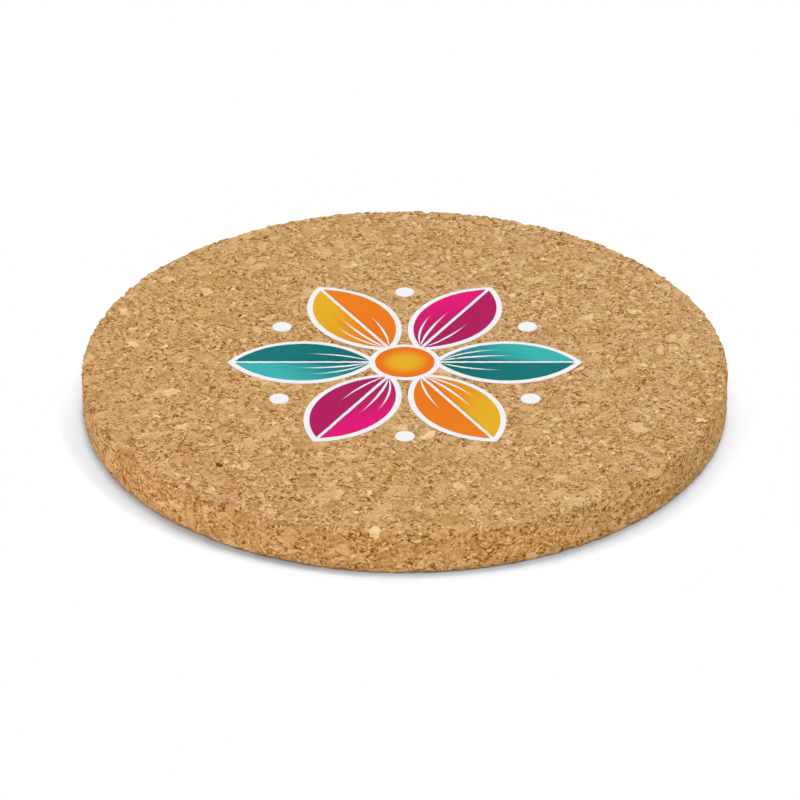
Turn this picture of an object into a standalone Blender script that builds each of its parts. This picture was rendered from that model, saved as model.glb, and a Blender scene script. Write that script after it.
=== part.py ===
"""Round cork coaster: a die-cut disc of pressed cork with a six-petal rosette printed on its top.

Metres, +Z up. The origin is the centre of the underside, where the coaster stands on the table.
The print is built as it is laid down: a white underbase on the cork, then flat colours on the white.
"""

import math

import bpy

# Cork disc
COASTER_DIAMETER = 0.100
COASTER_THICKNESS = 0.0068
EDGE_RADIUS = 0.0006

# Ink films, and the hairline that keeps two stacked faces apart
UNDERBASE_FILM = 0.00010
COLOUR_FILM = 0.00006
FILM_CLEARANCE = 0.00002

# Rosette, seen from above
PETAL_COUNT = 6
HUB_RADIUS = 0.0046
PETAL_TIP = 0.0262
PETAL_HALF_WIDTH = 0.0056
MIDRIB_WIDTH = 0.0006
WHITE_BORDER = 0.0009
DOT_RADIUS = 0.0015
DOT_ORBIT = 0.0222

# Facets of the round stretches
DISC_SIDES = 180
HUB_SIDES = 48
DOT_SIDES = 32
EDGE_SEGMENTS = 4
PETAL_STEPS = 20
RING_STEPS = 4
SHARP_EDGE = math.radians(40)

# Layers from the table up, each as its bottom height and its thickness
UNDERBASE_BOTTOM = COASTER_THICKNESS + FILM_CLEARANCE
COLOUR_BOTTOM = UNDERBASE_BOTTOM + UNDERBASE_FILM + FILM_CLEARANCE
CORK_LAYER = (0.0, COASTER_THICKNESS)
UNDERBASE_LAYER = (UNDERBASE_BOTTOM, UNDERBASE_FILM)
COLOUR_LAYER = (COLOUR_BOTTOM, COLOUR_FILM)

# A petal lies along +X. Each of its two colours is a circular segment with its chord beside the midrib.
PETAL_PITCH = 2 * math.pi / PETAL_COUNT
HUB_RING_RADIUS = HUB_RADIUS + WHITE_BORDER
PETAL_START = HUB_RING_RADIUS
PETAL_MIDDLE = (PETAL_START + PETAL_TIP) / 2
HALF_CHORD = (PETAL_TIP - PETAL_START) / 2
RIB_OFFSET = MIDRIB_WIDTH / 2
SEGMENT_HEIGHT = PETAL_HALF_WIDTH - RIB_OFFSET
SIDE_RADIUS = (HALF_CHORD**2 + SEGMENT_HEIGHT**2) / (2 * SEGMENT_HEIGHT)
SIDE_CENTRE = (PETAL_MIDDLE, PETAL_HALF_WIDTH - SIDE_RADIUS)
BORDER_RADIUS = SIDE_RADIUS + WHITE_BORDER

# Linear colour and roughness of each finish
CORK_FINISH = ("cork", (0.58, 0.34, 0.145), 0.9)
WHITE_FINISH = ("white_ink", (0.88, 0.88, 0.87), 0.45)
HUB_FINISH = ("orange_ink", (0.88, 0.25, 0.02), 0.45)
PETAL_FINISHES = (
    (("teal_ink", (0.03, 0.42, 0.42), 0.45), ("deep_teal_ink", (0.0, 0.19, 0.21), 0.45)),
    (("magenta_ink", (0.75, 0.01, 0.19), 0.45), ("deep_magenta_ink", (0.42, 0.012, 0.15), 0.45)),
    (("amber_ink", (0.79, 0.42, 0.02), 0.45), ("deep_amber_ink", (0.86, 0.23, 0.012), 0.45)),
)


def clear_scene():
    """Removes whatever the scene holds before the coaster is built."""
    for obj in list(bpy.data.objects):
        bpy.data.objects.remove(obj, do_unlink=True)


def make_material(name, colour, roughness):
    """A Principled finish, made once and shared by the pieces that have it."""
    if name in bpy.data.materials:
        return bpy.data.materials[name]
    material = bpy.data.materials.new(name)
    material.use_nodes = True
    shader = material.node_tree.nodes["Principled BSDF"]
    shader.inputs["Base Color"].default_value = (*colour, 1.0)
    shader.inputs["Roughness"].default_value = roughness
    shader.inputs["Metallic"].default_value = 0.0
    return material


def attach(carrier, obj, finish):
    """Gives a piece its finish, and puts it on the carrier and in the carrier's collection alone."""
    for holder in list(obj.users_collection):
        holder.objects.unlink(obj)
    carrier.users_collection[0].objects.link(obj)
    obj.parent = carrier
    obj.data.materials.append(make_material(*finish))


def arc(centre, radius, start, end, steps):
    """Points along a circular arc from angle start to angle end, both included."""
    angles = [start + (end - start) * i / steps for i in range(steps + 1)]
    return [(centre[0] + radius * math.cos(a), centre[1] + radius * math.sin(a)) for a in angles]


def mirrored(points):
    """The same outline on the other side of the X axis, still counter-clockwise."""
    return [(x, -y) for x, y in reversed(points)]


def turned(points, angle):
    """An outline turned about the rosette's centre."""
    c, s = math.cos(angle), math.sin(angle)
    return [(c * x - s * y, s * x + c * y) for x, y in points]


def petal_half_outline():
    """The half of a petal on the +Y side of its midrib: an arc from the tip, closed by its chord."""
    tip = math.atan2(RIB_OFFSET - SIDE_CENTRE[1], HALF_CHORD)
    return arc(SIDE_CENTRE, SIDE_RADIUS, tip, math.pi - tip, PETAL_STEPS)


def border_meets_ring():
    """Angle, on the circle of a petal's white edge, at which that edge runs into the hub's ring."""
    to_hub = math.hypot(*SIDE_CENTRE)
    towards_hub = math.atan2(-SIDE_CENTRE[1], -SIDE_CENTRE[0])
    cosine = (BORDER_RADIUS**2 + to_hub**2 - HUB_RING_RADIUS**2) / (2 * BORDER_RADIUS * to_hub)
    return towards_hub - math.acos(cosine)


def border_meets_neighbour():
    """Angle, on the same circle, at which the edge reaches the line midway to the next petal.

    Where the petals stand clear of each other it never does, and the angle is infinite.
    """
    c, s = math.cos(PETAL_PITCH / 2), math.sin(PETAL_PITCH / 2)
    along = SIDE_CENTRE[0] * c + SIDE_CENTRE[1] * s
    across = SIDE_CENTRE[0] * s - SIDE_CENTRE[1] * c
    if across >= BORDER_RADIUS:
        return math.inf
    reach = along + math.sqrt(BORDER_RADIUS**2 - across**2)
    return math.atan2(reach * s - SIDE_CENTRE[1], reach * c - SIDE_CENTRE[0])


def underbase_outline():
    """The white under the whole rosette: petals grown by the border, joined by the hub's ring.

    Petals wide enough to touch are joined directly, with no ring showing between them.
    """
    tip = math.atan2(-SIDE_CENTRE[1], math.sqrt(BORDER_RADIUS**2 - SIDE_CENTRE[1] ** 2))
    ring_angle, neighbour_angle = border_meets_ring(), border_meets_neighbour()
    side = arc(SIDE_CENTRE, BORDER_RADIUS, tip, min(ring_angle, neighbour_angle), PETAL_STEPS)
    one_petal = mirrored(side)[:-1] + side[:-1]
    if ring_angle < neighbour_angle:
        start = math.atan2(side[-1][1], side[-1][0])
        one_petal += arc((0.0, 0.0), HUB_RING_RADIUS, start, PETAL_PITCH - start, RING_STEPS)[:-1]
    outline = []
    for k in range(PETAL_COUNT):
        outline += turned(one_petal, k * PETAL_PITCH)
    return outline


def add_film(carrier, name, outline, layer, finish):
    """A flat ink film: a filled outline, extruded half its layer's thickness each way."""
    bottom, thickness = layer
    curve = bpy.data.curves.new(name, "CURVE")
    curve.dimensions = "2D"
    curve.fill_mode = "BOTH"
    curve.extrude = thickness / 2
    spline = curve.splines.new("POLY")
    spline.points.add(len(outline) - 1)
    for point, (x, y) in zip(spline.points, outline):
        point.co = (x, y, 0.0, 1.0)
    spline.use_cyclic_u = True
    obj = bpy.data.objects.new(name, curve)
    attach(carrier, obj, finish)
    obj.location.z = bottom + thickness / 2
    return obj


def add_round(carrier, name, radius, sides, layer, finish, centre=(0.0, 0.0)):
    """A round piece that fills its layer's height, shaded smooth round its rim."""
    bottom, thickness = layer
    bpy.ops.mesh.primitive_cylinder_add(vertices=sides, radius=radius, depth=thickness)
    obj = bpy.context.active_object
    obj.name = obj.data.name = name
    obj.data.shade_smooth()
    obj.data.set_sharp_from_angle(angle=SHARP_EDGE)
    attach(carrier, obj, finish)
    obj.location = (*centre, bottom + thickness / 2)
    return obj


def add_cork_disc(carrier):
    """The disc itself, with the edge that the die and handling leave slightly round."""
    radius = COASTER_DIAMETER / 2
    disc = add_round(carrier, "cork_disc", radius, DISC_SIDES, CORK_LAYER, CORK_FINISH)
    edge = disc.modifiers.new("soft_edge", "BEVEL")
    edge.width = EDGE_RADIUS
    edge.segments = EDGE_SEGMENTS
    edge.limit_method = "ANGLE"
    edge.angle_limit = SHARP_EDGE


def add_petals(carrier):
    """Each petal as two flat colours, light and shade, with the white midrib bare between them."""
    light = petal_half_outline()
    shade = mirrored(light)
    for k in range(PETAL_COUNT):
        finishes = PETAL_FINISHES[k % len(PETAL_FINISHES)]
        for side, outline, finish in (("light", light, finishes[0]), ("shade", shade, finishes[1])):
            name = f"petal_{k + 1}_{side}"
            half = add_film(carrier, name, outline, COLOUR_LAYER, finish)
            half.rotation_euler.z = k * PETAL_PITCH


def add_dots(carrier):
    """White dots printed on bare cork, one in each gap between petals."""
    for k in range(PETAL_COUNT):
        angle = (k + 0.5) * PETAL_PITCH
        centre = (DOT_ORBIT * math.cos(angle), DOT_ORBIT * math.sin(angle))
        name = f"white_dot_{k + 1}"
        add_round(carrier, name, DOT_RADIUS, DOT_SIDES, UNDERBASE_LAYER, WHITE_FINISH, centre)


def main():
    clear_scene()
    coaster = bpy.data.collections.new("cork_coaster")
    bpy.context.scene.collection.children.link(coaster)
    carrier = bpy.data.objects.new("coaster_centre", None)
    coaster.objects.link(carrier)
    add_cork_disc(carrier)
    add_film(carrier, "white_underbase", underbase_outline(), UNDERBASE_LAYER, WHITE_FINISH)
    add_round(carrier, "hub_ink", HUB_RADIUS, HUB_SIDES, COLOUR_LAYER, HUB_FINISH)
    add_petals(carrier)
    add_dots(carrier)


main()
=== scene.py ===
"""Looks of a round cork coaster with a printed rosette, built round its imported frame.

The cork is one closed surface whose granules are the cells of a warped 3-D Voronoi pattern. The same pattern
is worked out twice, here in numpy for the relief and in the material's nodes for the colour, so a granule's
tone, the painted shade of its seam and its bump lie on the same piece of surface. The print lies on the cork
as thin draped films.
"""

import math
from types import SimpleNamespace

import bpy
import numpy as np
from bpy.props import FloatProperty, FloatVectorProperty, IntProperty, PointerProperty
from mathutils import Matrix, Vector


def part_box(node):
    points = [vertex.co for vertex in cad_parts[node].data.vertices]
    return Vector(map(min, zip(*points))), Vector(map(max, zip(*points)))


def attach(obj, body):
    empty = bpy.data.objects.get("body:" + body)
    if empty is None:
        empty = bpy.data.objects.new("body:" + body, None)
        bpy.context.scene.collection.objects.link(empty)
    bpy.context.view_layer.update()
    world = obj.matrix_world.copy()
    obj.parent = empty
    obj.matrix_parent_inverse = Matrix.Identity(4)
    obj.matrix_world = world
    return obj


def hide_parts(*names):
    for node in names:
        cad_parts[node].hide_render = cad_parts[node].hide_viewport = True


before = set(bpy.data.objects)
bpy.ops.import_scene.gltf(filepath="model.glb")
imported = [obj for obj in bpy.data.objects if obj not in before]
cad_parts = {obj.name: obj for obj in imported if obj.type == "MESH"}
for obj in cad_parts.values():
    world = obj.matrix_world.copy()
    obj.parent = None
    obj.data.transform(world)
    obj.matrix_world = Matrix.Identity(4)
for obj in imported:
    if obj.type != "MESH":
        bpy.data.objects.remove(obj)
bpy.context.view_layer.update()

bl_info = {
    "name": "Cork Coaster",
    "version": (1, 0, 0),
    "blender": (4, 5, 0),
    "location": "3D View > Sidebar > Coaster",
    "description": "Builds a printed cork coaster and a plain stage round its packed frame",
    "category": "Add Mesh",
}

MM = 0.001
BODY = "root"
FILM_MAP = "film"
PETAL_COUNT = 6
PETAL_PITCH = 2 * math.pi / PETAL_COUNT

# Nominal places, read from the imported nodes
DISC_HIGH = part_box("cork_disc")[1]
UNDERBASE_LOW, UNDERBASE_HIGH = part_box("white_underbase")
HUB_LOW, HUB_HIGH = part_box("hub_ink")
PETAL_LOW, PETAL_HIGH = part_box("petal_1_light")
DOT_LOW, DOT_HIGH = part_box("white_dot_1")
DOT_MIDDLE = (Vector(DOT_LOW) + Vector(DOT_HIGH)) / 2

# Two sine waves, in millimetres, that bend the straight walls of the granule pattern's cells
WARP_LONG = 0.30
WARP_LONG_WAVES = 1.9
WARP_LONG_PHASES = (0.3, 1.7, 4.1)
WARP_SHORT = 0.11
WARP_SHORT_WAVES = 5.3
WARP_SHORT_PHASES = (2.2, 5.0, 0.9)

# Shifts that keep the small granules and the crumbs from lining up with the large granules
FINE_SHIFT = (31.7, 12.3, 7.9)
CRUMB_SHIFT = (5.2, 47.1, 19.6)

# The cork's relief: millimetres from a seam, and bands of a granule's own numbers
SEAM_REACH = 0.34
PIT_REACH = 0.2
PIT_TONES = (0.005, 0.022)
CHIP_LEVELS = (0.70, 0.95)
CHIP_LEAN = 0.7
RIM_BELL = 0.6 * MM
FOOT_CHIP_SHARE = 0.45

# The share of the relief that the ink fills, how far round the print it does so, and the depths below the
# top between which that begins
INK_FILL = 0.67
INK_SPREAD = 0.6 * MM
TOP_DEPTHS = (0.3 * MM, 0.1 * MM)

# Points along the cork's edge profile, and cells of the films: along and across, or rings and sides
EDGE_POINTS = 5
WALL_POINTS = 14
FOOT_POINTS = 4
PETAL_CELLS = (64, 16)
UNDERBASE_CELLS = (64, 18)
UNDERBASE_RINGS = 16
UNDERBASE_GAP_CELLS = 8
TIP_CROWDING = 1.5
HUB_CELLS = (14, 72)
DOT_CELLS = (5, 40)
SHARP_EDGE = math.radians(40)
WELD_STEP = 1e-8

# Noise in the cork and the ink: how often it repeats in a millimetre, its detail and its roughness
WOBBLE = (2.6, 3.0, 0.65)
BLOTCH = (0.16, 2.0, 0.5)
MOTTLE = (1.1, 2.0, 0.5)
GRAIN = (3.9, 2.0, 0.6)
DASHES = (2.0, 2.0, 0.55)
INK_GRAIN = (2.6, 3.0, 0.6)
INK_CLOUD = (0.45, 2.0, 0.5)

# In the material alone: the seams' wobble in millimetres, how far crumbs are drawn out into flakes, and how
# much of its painted tilt shade a large granule keeps
WOBBLE_DEPTH = 0.45
FLAKE_DRAW = 0.71
LARGE_TILT_SHADE_SHARE = 0.3

# How far each thing moves the cork's shade, which is 0 in the deepest gap and 1 on the palest chip
MIDDLE_SHADE = 0.525
TONE_WEIGHT = 0.24
CRUMB_TONE_WEIGHT = 0.20
FLAKE_WEIGHT = 0.20
# Painted shade across a granule, as if it were tilted
TILT_SHADE_WEIGHT = 0.38
GRAIN_WEIGHT = 0.47
MOTTLE_WEIGHT = 0.18
SIDE_MOTTLE_WEIGHT = 0.20
BLOTCH_WEIGHT = 0.10
PALE_WEIGHT = 0.11
# Painted highlights and painted shade along the seams
SEAM_HIGHLIGHT_WEIGHT = 0.12
SEAM_SHADE_WEIGHT = 0.45
# Painted shade in the gaps among the crumbs
GAP_SHADE_WEIGHT = 0.40

# How dark a gap's painted shade is on the top, and what the cut side adds to it
TOP_GAP_SHADE = 0.68
SIDE_GAP_SHADE = 0.50

# Bands over which they and the bark come in: a granule's tone, its seam's dashes, millimetres from the seam
PALE_TONES = (0.93, 0.96)
PALEST_TONES = (0.985, 0.99)
GAP_TONES = (0.06, 0.12)
BARK_TONES = (0.0015, 0.0018)
# Bands of the dash noise where the seams get painted highlights and painted shade
SEAM_HIGHLIGHT_DASHES = (0.36, 0.46)
SEAM_SHADE_DASHES = (0.53, 0.60)
SEAM_LINE = (0.015, 0.075)

# The cut side: millimetres inside the rim where it begins, how it differs from the top, and the share of the
# radius at the far left where its tint is whole. Nearer the far left the tint gives way, and the side is
# painted paler, as if lit from the left
SIDE_BAND = (0.7, 0.1)
SIDE_CONTRAST = 0.10
SIDE_GAP_TONE = 0.02
SIDE_BARK_TONE = 0.008
SIDE_BARK_FADE = 0.3
SIDE_TINT_START = 0.8

# Display levels of the common tan, how they rise together, and the steps of the ramp along that rise
TAN = np.array((211, 167, 110.5))
TAN_RISE = np.array((0.89, 1.06, 1.19))
TAN_STEPS = (-82, -55, -27, 0, 20, 38, 54)

# Tints over a mix of a granule's level and the blotches, and across the disc from its front left to its back
# right, over a width in millimetres. The tint across the disc is painted light
HUE_LEVEL_SHARE = 0.6
HUE_STOPS = ((0.0, (0.99, 1.01, 0.88)), (0.5, (1.0, 1.0, 1.0)), (1.0, (1.015, 0.955, 1.09)))
DRIFT_STOPS = ((0.12, (1.0, 0.972, 1.0)), (0.33, (1.0, 1.0, 1.0)), (0.71, (0.99, 1.0, 1.06)))
DRIFT_WIDTH = 120
DRIFT_SLANT = 0.5

# Finish of the cork: its bump's depth, and shares of the seams, the granules' levels and the grain in it
CORK_ROUGHNESS = 0.9
CORK_GLOSS = 0.08
CORK_BUMP = 0.10 * MM
SEAM_BUMP_REACH = 0.22
SEAM_BUMP = 0.7
LEVEL_BUMP = 0.2
GRAIN_BUMP = 0.35

# Finish of the ink, and where its film is thin: a band of its grain and cloud, and the tan that comes through
INK_ROUGHNESS = 0.5
THIN_INK_ROUGHNESS = 0.15
INK_GLOSS = 0.03
INK_BUMP = 0.03 * MM
INK_GRAIN_SHARE = 0.6
THIN_INK = (0.38, 0.66)
TAN_THROUGH_INK = (0.42, 0.27, 0.13)
TAN_THROUGH_SHARE = 0.02

# Where the hub has turned wholly from amber to orange, as the square of a share of its radius
HUB_BLEND = 0.75

# The petals' strokes, their streaks (place across the half petal, half width at the hub, and where it ends
# along the petal), and how far the shaded half's ink turns to the light one
STROKE_WAVES = (1.2, 4.5)
STROKE_LEAN = 0.25
STROKE_DEPTH = 0.7
STROKE_BAND = (0.10, 0.85)
STREAK_EDGE = 0.02
LIGHT_STREAKS = ((0.30, 0.10, 0.50), (0.66, 0.09, 0.40))
SHADE_STREAKS = ((0.42, 0.09, 0.42),)
SHADE_BLEND = 0.12

# The stage: the floor's half width and the lamps' distance in metres, the camera's sensor in millimetres
WHITE = (1.0, 1.0, 1.0, 1.0)
FLOOR_HALF = 3.0
LAMP_DISTANCE = 6.0
SENSOR_WIDTH = 36.0

# On the floor: how far from the rim the cool lift reaches and where the fade may begin, in millimetres, and
# the cool lift's band across the warm side in shares of the rim's radius, with its least level
COOL_REACH = 3.0
COOL_BAND = (0.1, 0.95)
COOL_LEAST = 0.35
FADE_BAND = (0.5, 2.5)

# Each lamp, named as its level is: azimuth and elevation in degrees, and width in metres
LAMPS = {
    "overhead": (80, 80, 1.05),
    "back": (90, 68, 3.9),
    "left": (180, 52, 2.1),
    "right": (0, 56, 1.9),
    "fill": (-122, 4, 0.8),
    "side_fill": (-22, 3, 0.6),
}


class CorkSettings(bpy.types.PropertyGroup):
    """Sizes and colours of the cork disc."""

    radius: FloatProperty(
        name="Radius", description="Outer radius of the disc", default=DISC_HIGH[0], unit="LENGTH"
    )
    thickness: FloatProperty(
        name="Thickness", description="Height of the bare cork", default=DISC_HIGH[2], unit="LENGTH"
    )
    edge_radius: FloatProperty(
        name="Edge radius", description="Rounding of the upper edge", default=0.6 * MM, unit="LENGTH"
    )
    foot_radius: FloatProperty(
        name="Foot radius", description="Rounding of the lower edge", default=0.42 * MM, unit="LENGTH"
    )
    cells: IntProperty(
        name="Cells", description="Surface cells across the top face, a multiple of four", default=244
    )
    coarse: FloatProperty(
        name="Large granules", description="Size of a large granule", default=2.1 * MM, unit="LENGTH"
    )
    fine: FloatProperty(
        name="Small granules", description="Size of a small granule", default=0.96 * MM, unit="LENGTH"
    )
    crumb: FloatProperty(
        name="Crumbs", description="Size of a crumb between granules", default=0.37 * MM, unit="LENGTH"
    )
    flatness: FloatProperty(
        name="Flatness", description="How much the press has flattened the granules", default=1.7
    )
    small_share: FloatProperty(
        name="Small share",
        description="Share of the face that small granules fill",
        default=0.80,
        subtype="FACTOR",
    )
    crumb_share: FloatProperty(
        name="Crumb share",
        description="Share of the small granules that are crumbs",
        default=0.50,
        subtype="FACTOR",
    )
    level: FloatProperty(
        name="Level", description="Range of the granules' own heights", default=0.09 * MM, unit="LENGTH"
    )
    rounding: FloatProperty(
        name="Rounding",
        description="Depth of the seam between two granules",
        default=0.08 * MM,
        unit="LENGTH",
    )
    pit: FloatProperty(
        name="Pit", description="Depth where a granule has broken out", default=0.30 * MM, unit="LENGTH"
    )
    chip: FloatProperty(
        name="Chip", description="Depth of the chips along the cut edge", default=0.5 * MM, unit="LENGTH"
    )
    side_tint: FloatVectorProperty(
        name="Side tint", description="Tint of the cut side", default=(1.0, 0.94, 0.81), subtype="COLOR"
    )
    bark: FloatVectorProperty(
        name="Bark", description="Tint of a dark bark fleck", default=(0.26, 0.14, 0.14), subtype="COLOR"
    )


class PrintSettings(bpy.types.PropertyGroup):
    """Sizes and colours of the printed rosette."""

    hub_radius: FloatProperty(
        name="Hub radius", description="Radius of the coloured hub", default=HUB_HIGH[0], unit="LENGTH"
    )
    petal_start: FloatProperty(
        name="Petal start", description="Where a petal's colour begins", default=PETAL_LOW[0], unit="LENGTH"
    )
    petal_tip: FloatProperty(
        name="Petal tip", description="Where a petal's colour ends", default=PETAL_HIGH[0], unit="LENGTH"
    )
    petal_half_width: FloatProperty(
        name="Petal half width",
        description="Half of a petal's coloured width",
        default=PETAL_HIGH[1],
        unit="LENGTH",
    )
    rib_offset: FloatProperty(
        name="Rib offset", description="Half of the bare white midrib", default=PETAL_LOW[1], unit="LENGTH"
    )
    border: FloatProperty(
        name="White border",
        description="White that shows round each colour",
        default=PETAL_LOW[0] - HUB_HIGH[0],
        unit="LENGTH",
    )
    dot_radius: FloatProperty(
        name="Dot radius",
        description="Radius of a white dot",
        default=(DOT_HIGH[0] - DOT_LOW[0]) / 2,
        unit="LENGTH",
    )
    dot_orbit: FloatProperty(
        name="Dot orbit",
        description="Distance of the dots from the centre",
        default=DOT_MIDDLE.xy.length,
        unit="LENGTH",
    )
    white: FloatVectorProperty(
        name="White", description="White ink", default=(0.93, 0.918, 0.93), subtype="COLOR"
    )
    teal: FloatVectorProperty(
        name="Teal", description="Light teal ink", default=(0.045, 0.462, 0.450), subtype="COLOR"
    )
    deep_teal: FloatVectorProperty(
        name="Deep teal", description="Deep teal ink", default=(0.0, 0.142, 0.142), subtype="COLOR"
    )
    magenta: FloatVectorProperty(
        name="Magenta", description="Light magenta ink", default=(0.765, 0.008, 0.180), subtype="COLOR"
    )
    deep_magenta: FloatVectorProperty(
        name="Deep magenta", description="Deep magenta ink", default=(0.400, 0.012, 0.105), subtype="COLOR"
    )
    amber: FloatVectorProperty(
        name="Amber", description="Light amber ink", default=(0.800, 0.440, 0.020), subtype="COLOR"
    )
    orange: FloatVectorProperty(
        name="Orange", description="Orange ink", default=(0.850, 0.180, 0.012), subtype="COLOR"
    )


class StageSettings(bpy.types.PropertyGroup):
    """Camera, floor and light."""

    elevation: FloatProperty(
        name="Elevation",
        description="Camera's height above the horizon",
        default=math.radians(30.53),
        subtype="ANGLE",
    )
    distance: FloatProperty(
        name="Distance", description="Camera's distance from the coaster", default=0.759, unit="LENGTH"
    )
    lens: FloatProperty(name="Lens", description="Focal length", default=219.7, unit="CAMERA")
    aim_right: FloatProperty(
        name="Aim right", description="How far right the view is aimed", default=-0.74 * MM, unit="LENGTH"
    )
    aim_up: FloatProperty(
        name="Aim up", description="How far up the view is aimed", default=0.08 * MM, unit="LENGTH"
    )
    sky: FloatProperty(name="Sky", description="Level of the even light from all round", default=0.03)
    overhead: FloatProperty(name="Overhead", description="Level of the overhead lamp", default=0.223)
    back: FloatProperty(name="Back", description="Level of the wide lamp high at the back", default=0.372)
    left: FloatProperty(name="Left", description="Level of the left lamp", default=0.193)
    right: FloatProperty(name="Right", description="Level of the right lamp", default=0.29)
    fill: FloatProperty(name="Fill", description="Level of the low front-left lamp", default=0.45)
    side_fill: FloatProperty(name="Side fill", description="Level of the low right lamp", default=0.16)
    floor: FloatVectorProperty(
        name="Floor", description="Floor colour", default=(0.93, 0.93, 0.93), subtype="COLOR"
    )
    lift: FloatVectorProperty(
        name="Lift",
        description="Light that the camera sees the floor give back beyond its own colour",
        default=(0.103, 0.162, 0.212),
        subtype="COLOR",
    )
    cool_lift: FloatVectorProperty(
        name="Cool lift",
        description="The same close to the coaster, cooler because the cork throws warm light there",
        default=(0.0, 0.19, 0.40),
        subtype="COLOR",
    )
    warm_side: FloatProperty(
        name="Warm side",
        description="Azimuth at which the cork throws the most warm light on the floor",
        default=math.radians(-105),
        subtype="ANGLE",
    )
    fade_shift: FloatProperty(
        name="Fade shift",
        description="How far in front of the coaster the fade is centred",
        default=14.0 * MM,
        unit="LENGTH",
    )
    fade_start: FloatProperty(
        name="Fade start",
        description="Where the floor begins to turn white",
        default=50.0 * MM,
        unit="LENGTH",
    )
    fade_end: FloatProperty(
        name="Fade end", description="Where the floor is wholly white", default=57.0 * MM, unit="LENGTH"
    )


def settings():
    """The three groups of settings, on the scene."""
    scene = bpy.context.scene
    return scene.coaster_cork, scene.coaster_print, scene.coaster_stage


# Surfaces


def make_piece(name, points, quads, triangles=None, uv=None):
    """A smooth mesh object at the origin from arrays of points (n, 3), quads (q, 4) and triangles (t, 3).

    uv, if given, holds one pair for each point.
    """
    if triangles is None:
        triangles = np.empty((0, 3), int)
    corners = np.concatenate([quads.ravel(), triangles.ravel()]).astype(np.int32)
    sizes = np.concatenate([np.full(len(quads), 4), np.full(len(triangles), 3)]).astype(np.int32)
    starts = np.concatenate([[0], np.cumsum(sizes)[:-1]]).astype(np.int32)
    mesh = bpy.data.meshes.new(name)
    mesh.vertices.add(len(points))
    mesh.vertices.foreach_set("co", points.astype(np.float32).ravel())
    mesh.loops.add(len(corners))
    mesh.loops.foreach_set("vertex_index", corners)
    mesh.polygons.add(len(sizes))
    mesh.polygons.foreach_set("loop_start", starts)
    mesh.polygons.foreach_set("use_smooth", np.ones(len(sizes), bool))
    mesh.update(calc_edges=True)
    if uv is not None:
        layer = mesh.uv_layers.new(name=FILM_MAP)
        layer.data.foreach_set("uv", uv[corners].astype(np.float32).ravel())
    if mesh.validate():
        raise RuntimeError(f"{name} has faces that Blender had to repair")
    piece = bpy.data.objects.new(name, mesh)
    bpy.context.scene.collection.objects.link(piece)
    return piece


def srgb(*levels):
    """A linear colour from display levels of 0 to 255, by the display's standard curve."""
    level = np.clip(np.array(levels) / 255, 0.0, 1.0)
    return tuple(np.where(level <= 0.04045, level / 12.92, ((level + 0.055) / 1.055) ** 2.4))


def smoothstep(low, high, value):
    """0 below low, 1 above high, and the cubic 3t^2 - 2t^3 between."""
    t = np.clip((value - low) / (high - low), 0.0, 1.0)
    return t * t * (3 - 2 * t)


def turn_bits(word, count):
    """32-bit words turned left by count bits."""
    return (word << np.uint32(count)) | (word >> np.uint32(32 - count))


def scramble(a, b, c):
    """The last stage of the lookup hash: in turn, each word is crossed with and lessened by its neighbour."""
    for count in (14, 11, 25, 16, 4, 14, 24):
        c = (c ^ b) - turn_bits(b, count)
        a, b, c = b, c, a
    return b


def blend_words(a, b, c):
    """The middle stage of the lookup hash, which takes in a fourth word."""
    for count in (4, 6, 8, 16, 19, 4):
        a = (a - c) ^ turn_bits(c, count)
        c = c + b
        a, b, c = b, c, a
    return a, b, c


def cell_numbers(cells):
    """Three numbers from 0 to 1 for each lattice cube.

    They are the lookup hash of the cube's corner, as the Voronoi texture has it.
    """
    words = (cells.astype(np.float32) + np.float32(0)).view(np.uint32)
    one, two = np.array([1, 2], np.float32).view(np.uint32)
    three_words = np.uint32(0xDEADBEEF + (3 << 2) + 13)
    four_words = np.uint32(0xDEADBEEF + (4 << 2) + 13)
    with np.errstate(over="ignore"):
        x = scramble(*(three_words + words).T)
        a, b, c = blend_words(*(four_words + words).T)
        y = scramble(a + one, b, c)
        z = scramble(a + two, b, c)
    return np.stack([x, y, z], axis=1) / 0xFFFFFFFF


def nearest_cells(points):
    """For each point, the three numbers of its Voronoi cell and its distance to that cell's wall.

    Each lattice cube holds one seed, placed by the cube's three numbers. A point belongs to the nearest seed.
    Its distance to the wall is the least of its distances to the planes midway between that seed and the
    others.
    """
    steps = (-1, 0, 1)
    cubes = [np.floor(points) + (i, j, k) for i in steps for j in steps for k in steps]
    numbers = np.stack([cell_numbers(cube) for cube in cubes])
    to_seed = np.stack(cubes) + numbers - points
    nearest = np.argmin((to_seed**2).sum(axis=2), axis=0)
    rows = np.arange(len(points))
    own = to_seed[nearest, rows]
    across = to_seed - own
    length = np.sqrt((across**2).sum(axis=2))
    midway = ((own + to_seed) / 2 * across).sum(axis=2) / np.maximum(length, 1e-6)
    wall = np.where(length > 0.01, midway, np.inf).min(axis=0)
    return numbers[nearest, rows], wall


def granules(points, cork):
    """Each point's granule: its three numbers, and the distance to its seam in millimetres.

    Points are bent by two sine waves, then read in a coarse and a fine cell pattern. Where the coarse cell's
    first number is over the small share, that cell is one large granule. Elsewhere the fine cells are the
    granules.
    """
    p = points / MM
    p = (
        p
        + WARP_LONG * np.sin(p[:, [1, 2, 0]] * WARP_LONG_WAVES + WARP_LONG_PHASES)
        + WARP_SHORT * np.sin(p[:, [2, 0, 1]] * WARP_SHORT_WAVES + WARP_SHORT_PHASES)
    )
    p = p * (1.0, 1.0, cork.flatness)
    coarse, fine = cork.coarse / MM, cork.fine / MM
    large_numbers, large_wall = nearest_cells(p / coarse)
    small_numbers, small_wall = nearest_cells(p / fine + FINE_SHIFT)
    large = large_numbers[:, 0] > cork.small_share
    numbers = np.where(large[:, None], large_numbers, small_numbers)
    wall = np.where(large, large_wall * coarse, np.minimum(small_wall * fine, large_wall * coarse))
    return numbers, wall


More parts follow.
